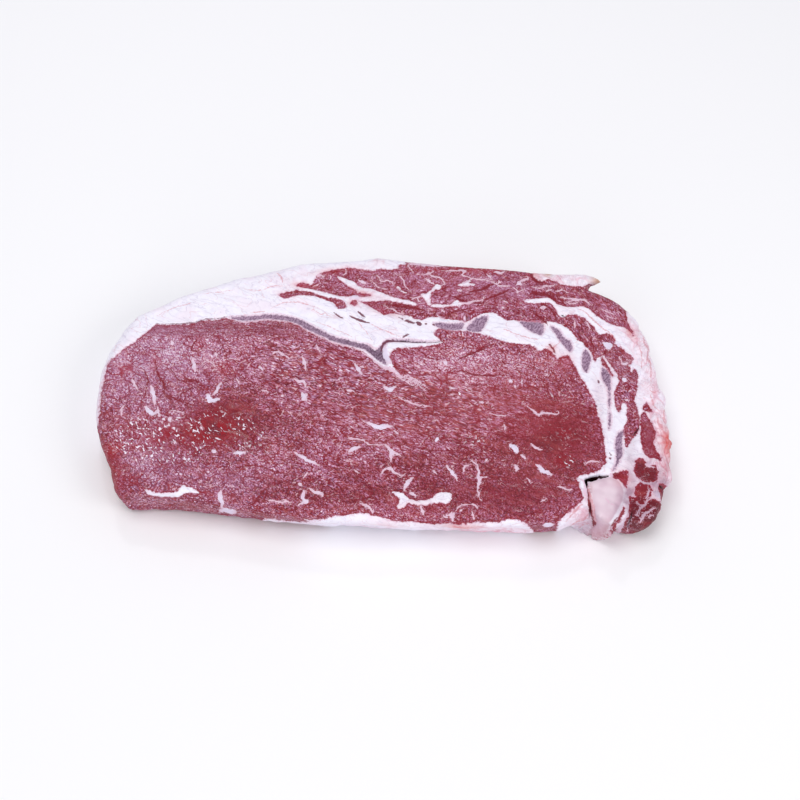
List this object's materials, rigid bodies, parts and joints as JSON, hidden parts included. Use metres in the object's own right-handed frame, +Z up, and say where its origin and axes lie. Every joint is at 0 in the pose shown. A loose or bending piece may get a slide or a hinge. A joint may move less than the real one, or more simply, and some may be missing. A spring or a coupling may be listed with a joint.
{
  "type": "raw ribeye steak",
  "caption": "Raw lip-on ribeye steak: a flat slab of marbled red beef with a white fat cap, a fatty lumpy end and a folded tail.",
  "frame": {"origin": "the middle of the footprint on the surface the steak lies on", "axes": "+X along the length towards the fatty end, +Y towards the fat cap and cap muscle, +Z up out of the cut face"},
  "size_m": [0.2364, 0.1378, 0.0215],
  "materials": {
    "meat": "moist raw beef with lavender-white fat"
  },
  "bodies": {
    "root": {"steak": "meat"}
  },
  "joints": []
}
